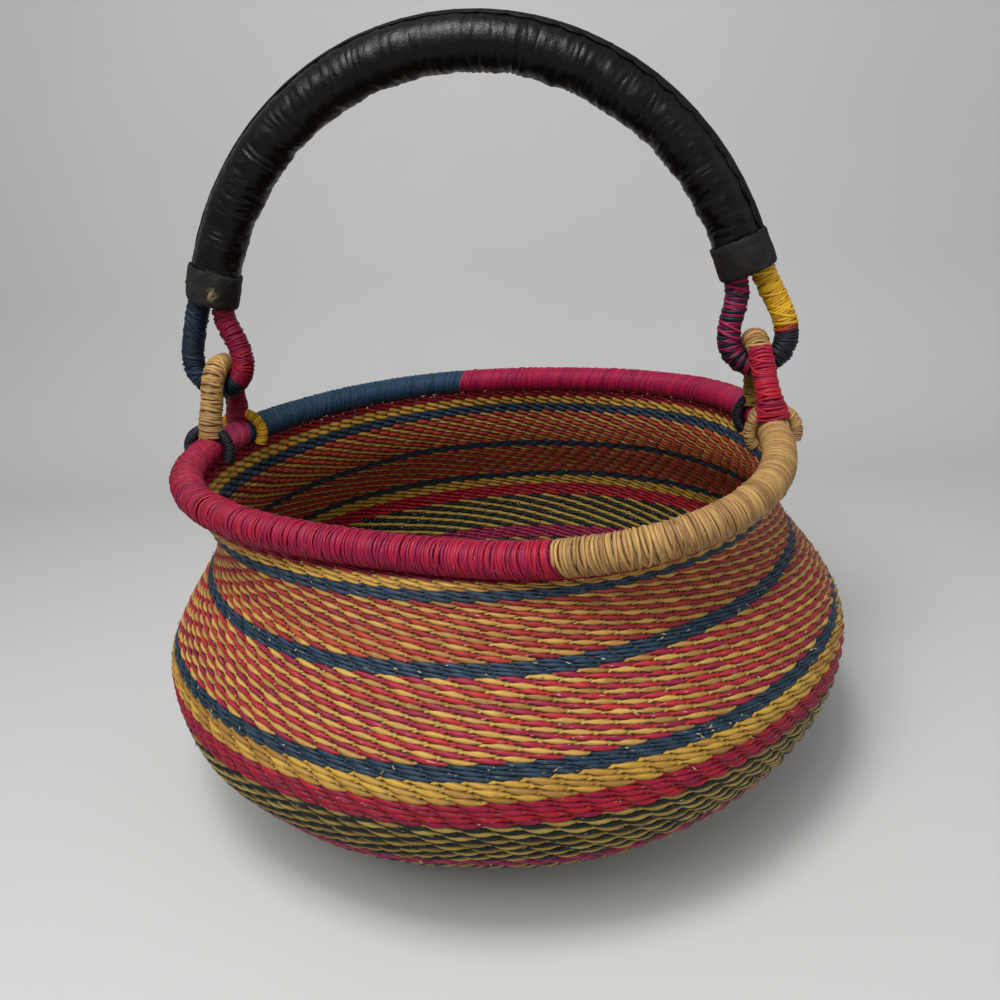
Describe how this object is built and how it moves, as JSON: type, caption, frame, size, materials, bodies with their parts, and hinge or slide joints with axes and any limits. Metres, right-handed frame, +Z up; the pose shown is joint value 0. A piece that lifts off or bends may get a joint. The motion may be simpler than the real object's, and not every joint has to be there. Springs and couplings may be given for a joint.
{
  "type": "basket",
  "caption": "Round woven straw basket with colour bands, a wrapped rim and a stiff leather-covered handle that swings in two wrapped bails.",
  "frame": {"origin": "middle of the bowl's round base, on the surface that it stands on", "axes": "+Z up through the bowl and the upright handle, +X from the left bail to the right bail, -Y to the front"},
  "size_m": [0.3918, 0.3918, 0.4023],
  "materials": {
    "dark_straw": "dyed straw, dark green and olive yellow, woven",
    "magenta_straw": "dyed straw, magenta, slight sheen",
    "crimson_straw": "dyed straw, crimson, woven",
    "yellow_straw": "dyed straw, yellow",
    "blue_straw": "dyed straw, slate blue",
    "mixed_straw": "dyed straw, crimson and straw yellow stitches in diagonals",
    "tan_straw": "natural tan straw",
    "natural_straw": "bundle of natural straw",
    "black_leather": "glossy black leather, wrinkled across",
    "cuff_leather": "matte dark grey-brown leather",
    "seam_leather": "laced dark leather seam"
  },
  "bodies": {
    "basket": {"base_centre": "dark_straw", "base_dark_zone": "dark_straw", "magenta_ring": "magenta_straw", "dark_zone": "dark_straw", "red_band": "crimson_straw", "yellow_band": "yellow_straw", "blue_band_lower": "blue_straw", "mixed_zone_lower": "mixed_straw", "blue_band_upper": "blue_straw", "mixed_zone_upper": "mixed_straw", "navy_rows": "blue_straw", "yellow_rows": "yellow_straw", "red_rows": "crimson_straw", "rim_core": "natural_straw", "rim_wrap_magenta_front": "magenta_straw", "rim_wrap_tan": "tan_straw", "rim_wrap_magenta_back": "magenta_straw", "rim_wrap_blue": "blue_straw", "rim_wrap_pink": "magenta_straw", "left_bail_core": "natural_straw", "left_bail_tan_winding": "tan_straw", "left_bail_magenta_winding": "magenta_straw", "left_front_fork": "blue_straw", "left_back_fork": "yellow_straw", "right_bail_core": "natural_straw", "right_bail_magenta_winding": "magenta_straw", "right_bail_tan_winding": "tan_straw", "right_bail_olive_winding": "yellow_straw", "right_front_fork": "tan_straw", "right_back_fork": "blue_straw"},
    "handle": {"left_ring_core": "natural_straw", "left_ring_blue_winding": "blue_straw", "left_ring_teal_winding": "blue_straw", "left_ring_magenta_winding": "magenta_straw", "right_ring_core": "natural_straw", "right_ring_striped_winding": "magenta_straw", "right_ring_navy_winding": "blue_straw", "right_ring_yellow_winding": "yellow_straw", "handle_core": "natural_straw", "handle_leather": "black_leather", "handle_seam": "seam_leather", "left_cuff": "cuff_leather", "right_cuff": "cuff_leather"}
  },
  "joints": [
    {"name": "handle_swing", "type": "hinge", "parent": "basket", "child": "handle", "pos_m": [-0.00366, -0.003, 0.22115], "axis": [0.9999, 0, -0.0105], "range_deg": [-95, 95]}
  ]
}
